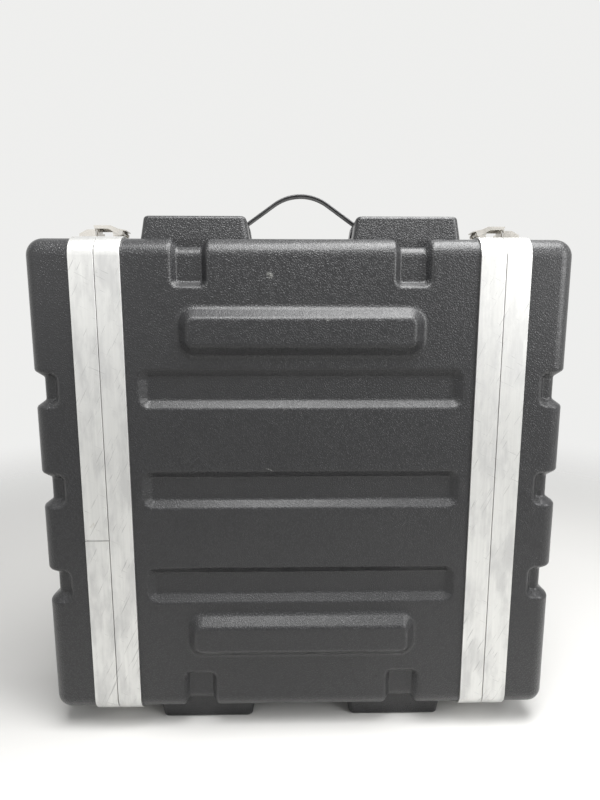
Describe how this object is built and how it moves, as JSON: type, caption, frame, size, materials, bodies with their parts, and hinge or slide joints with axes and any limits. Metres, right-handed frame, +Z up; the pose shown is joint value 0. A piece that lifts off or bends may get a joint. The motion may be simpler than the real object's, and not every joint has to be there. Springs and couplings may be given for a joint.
{
  "type": "rack case",
  "caption": "Shallow moulded rack case on its side, with aluminium valances, draw latches, lift-off lids, bumper blocks and a strap handle.",
  "frame": {"origin": "middle of the standing face, under the lower bumper blocks", "axes": "+Z up with the case standing on one side wall, +X from the front lid to the rear lid, +Y through the case's thickness"},
  "size_m": [0.58, 0.136, 0.6215],
  "materials": {
    "moulded_abs": "leather-grain textured moulded plastic, semi-gloss",
    "valance_aluminium": "satin extrusion with fine scratches",
    "rivet_aluminium": "plain",
    "latch_steel": "nickel plated",
    "pin_steel": "plain",
    "rail_steel": "zinc plated",
    "screw_steel": "zinc plated",
    "spring_steel": "plain",
    "strap_rubber": "smooth black",
    "seal_rubber": "soft black",
    "cap_plastic": "smooth black"
  },
  "bodies": {
    "case_body": {"body_shell": "moulded_abs", "body_valance_rivets": "rivet_aluminium", "latch_base_rivets": "rivet_aluminium", "rail_screws": "screw_steel", "rail_nuts": "screw_steel", "handle_strap": "strap_rubber", "strap_core": "spring_steel", "front_strap_cap": "cap_plastic", "rear_strap_cap": "cap_plastic", "strap_cap_screws": "screw_steel", "strap_cap_nuts": "screw_steel", "front_body_valance": "valance_aluminium", "rear_body_valance": "valance_aluminium", "front_seal": "seal_rubber", "rear_seal": "seal_rubber", "front_upper_rack_rail": "rail_steel", "front_upper_latch_base": "latch_steel", "front_upper_lever_pin": "pin_steel", "front_lower_rack_rail": "rail_steel", "front_lower_latch_base": "latch_steel", "front_lower_lever_pin": "pin_steel", "rear_upper_rack_rail": "rail_steel", "rear_upper_latch_base": "latch_steel", "rear_upper_lever_pin": "pin_steel", "rear_lower_rack_rail": "rail_steel", "rear_lower_latch_base": "latch_steel", "rear_lower_lever_pin": "pin_steel"},
    "front_lid": {"front_lid_shell": "moulded_abs", "front_lid_valance": "valance_aluminium", "front_lid_rivets": "rivet_aluminium", "front_upper_keeper": "latch_steel", "front_lower_keeper": "latch_steel"},
    "front_upper_lever": {"front_upper_lever": "latch_steel", "front_upper_bail_pin": "pin_steel"},
    "front_upper_bail": {"front_upper_bail": "latch_steel"},
    "front_lower_lever": {"front_lower_lever": "latch_steel", "front_lower_bail_pin": "pin_steel"},
    "front_lower_bail": {"front_lower_bail": "latch_steel"},
    "rear_lid": {"rear_lid_shell": "moulded_abs", "rear_lid_valance": "valance_aluminium", "rear_lid_rivets": "rivet_aluminium", "rear_upper_keeper": "latch_steel", "rear_lower_keeper": "latch_steel"},
    "rear_upper_lever": {"rear_upper_lever": "latch_steel", "rear_upper_bail_pin": "pin_steel"},
    "rear_upper_bail": {"rear_upper_bail": "latch_steel"},
    "rear_lower_lever": {"rear_lower_lever": "latch_steel", "rear_lower_bail_pin": "pin_steel"},
    "rear_lower_bail": {"rear_lower_bail": "latch_steel"}
  },
  "joints": [
    {"name": "front_lid_slide", "type": "slide", "parent": "case_body", "child": "front_lid", "axis": [-1, 0, 0], "range_m": [0, 0.12]},
    {"name": "front_upper_lever_hinge", "type": "hinge", "parent": "case_body", "child": "front_upper_lever", "pos_m": [-0.2067, 0, 0.579], "axis": [0, -1, 0], "range_deg": [0, 110]},
    {"name": "front_upper_bail_hinge", "type": "hinge", "parent": "front_upper_lever", "child": "front_upper_bail", "pos_m": [-0.2002, 0, 0.5783], "axis": [0, 1, 0], "range_deg": [0, 132]},
    {"name": "front_lower_lever_hinge", "type": "hinge", "parent": "case_body", "child": "front_lower_lever", "pos_m": [-0.2067, 0, 0.013], "axis": [0, 1, 0], "range_deg": [0, 110]},
    {"name": "front_lower_bail_hinge", "type": "hinge", "parent": "front_lower_lever", "child": "front_lower_bail", "pos_m": [-0.2002, 0, 0.0137], "axis": [0, -1, 0], "range_deg": [0, 132]},
    {"name": "rear_lid_slide", "type": "slide", "parent": "case_body", "child": "rear_lid", "axis": [1, 0, 0], "range_m": [0, 0.12]},
    {"name": "rear_upper_lever_hinge", "type": "hinge", "parent": "case_body", "child": "rear_upper_lever", "pos_m": [0.2067, 0, 0.579], "axis": [0, 1, 0], "range_deg": [0, 110]},
    {"name": "rear_upper_bail_hinge", "type": "hinge", "parent": "rear_upper_lever", "child": "rear_upper_bail", "pos_m": [0.2002, 0, 0.5783], "axis": [0, -1, 0], "range_deg": [0, 132]},
    {"name": "rear_lower_lever_hinge", "type": "hinge", "parent": "case_body", "child": "rear_lower_lever", "pos_m": [0.2067, 0, 0.013], "axis": [0, -1, 0], "range_deg": [0, 110]},
    {"name": "rear_lower_bail_hinge", "type": "hinge", "parent": "rear_lower_lever", "child": "rear_lower_bail", "pos_m": [0.2002, 0, 0.0137], "axis": [0, 1, 0], "range_deg": [0, 132]}
  ],
  "couplings": [
    {"joint": "front_upper_bail_hinge", "follows": "front_upper_lever_hinge", "ratio": 1.2},
    {"joint": "front_lower_bail_hinge", "follows": "front_lower_lever_hinge", "ratio": 1.2},
    {"joint": "rear_upper_bail_hinge", "follows": "rear_upper_lever_hinge", "ratio": 1.2},
    {"joint": "rear_lower_bail_hinge", "follows": "rear_lower_lever_hinge", "ratio": 1.2}
  ]
}
